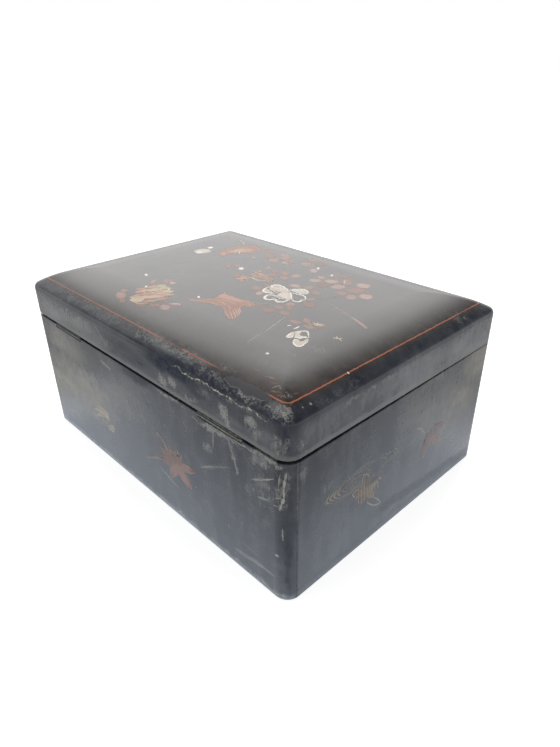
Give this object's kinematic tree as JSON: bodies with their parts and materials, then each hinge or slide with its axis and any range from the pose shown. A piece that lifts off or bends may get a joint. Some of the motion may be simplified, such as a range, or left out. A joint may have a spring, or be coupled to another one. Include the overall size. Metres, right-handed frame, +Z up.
{
  "type": "lacquer box",
  "caption": "Black lacquered wooden box with a softly domed lid on brass butt hinges and a small lock sunk in the front wall.",
  "frame": {"origin": "middle of the underside, on the surface that the box stands on", "axes": "+X along the length, to the right for someone in front of the box; -Y to the front, where the lock is; +Y to the back, where the hinges are; +Z up"},
  "size_m": [0.28, 0.2047, 0.1336],
  "materials": {
    "black_lacquer": "satin black lacquer over wood, worn",
    "peg_wood": "plain split bamboo",
    "aged_brass": "aged, dull"
  },
  "bodies": {
    "box": {"back_left_lower_peg": "peg_wood", "back_left_upper_peg": "peg_wood", "back_right_lower_peg": "peg_wood", "back_right_upper_peg": "peg_wood", "back_wall": "black_lacquer", "bottom_board": "black_lacquer", "front_left_lower_peg": "peg_wood", "front_left_upper_peg": "peg_wood", "front_right_lower_peg": "peg_wood", "front_right_upper_peg": "peg_wood", "front_wall": "black_lacquer", "left_end_wall": "black_lacquer", "left_hinge_box_leaf": "aged_brass", "left_hinge_box_screw_1": "aged_brass", "left_hinge_box_screw_2": "aged_brass", "left_hinge_box_screw_3": "aged_brass", "left_hinge_pin": "aged_brass", "lock_cap": "aged_brass", "lock_case": "aged_brass", "lock_case_screw_1": "aged_brass", "lock_case_screw_2": "aged_brass", "lock_case_screw_3": "aged_brass", "lock_case_screw_4": "aged_brass", "right_end_wall": "black_lacquer", "right_hinge_box_leaf": "aged_brass", "right_hinge_box_screw_1": "aged_brass", "right_hinge_box_screw_2": "aged_brass", "right_hinge_box_screw_3": "aged_brass", "right_hinge_pin": "aged_brass"},
    "lid": {"left_hinge_lid_leaf": "aged_brass", "left_hinge_lid_screw_1": "aged_brass", "left_hinge_lid_screw_2": "aged_brass", "left_hinge_lid_screw_3": "aged_brass", "lid_back_left_peg": "peg_wood", "lid_back_rail": "black_lacquer", "lid_back_right_peg": "peg_wood", "lid_front_left_peg": "peg_wood", "lid_front_rail": "black_lacquer", "lid_front_right_peg": "peg_wood", "lid_left_rail": "black_lacquer", "lid_right_rail": "black_lacquer", "lid_top": "black_lacquer", "lock_link_plate": "aged_brass", "lock_link_screw_1": "aged_brass", "lock_link_screw_2": "aged_brass", "right_hinge_lid_leaf": "aged_brass", "right_hinge_lid_screw_1": "aged_brass", "right_hinge_lid_screw_2": "aged_brass", "right_hinge_lid_screw_3": "aged_brass"},
    "lock_bolt": {"lock_bolt": "aged_brass"}
  },
  "joints": [
    {"name": "lid_hinge", "type": "hinge", "parent": "box", "child": "lid", "pos_m": [0, 0.1006, 0.09707], "axis": [-1, 0, 0], "range_deg": [0, 104]},
    {"name": "lock_bolt_slide", "type": "slide", "parent": "box", "child": "lock_bolt", "axis": [1, 0, 0], "range_m": [0, 0.004]}
  ]
}
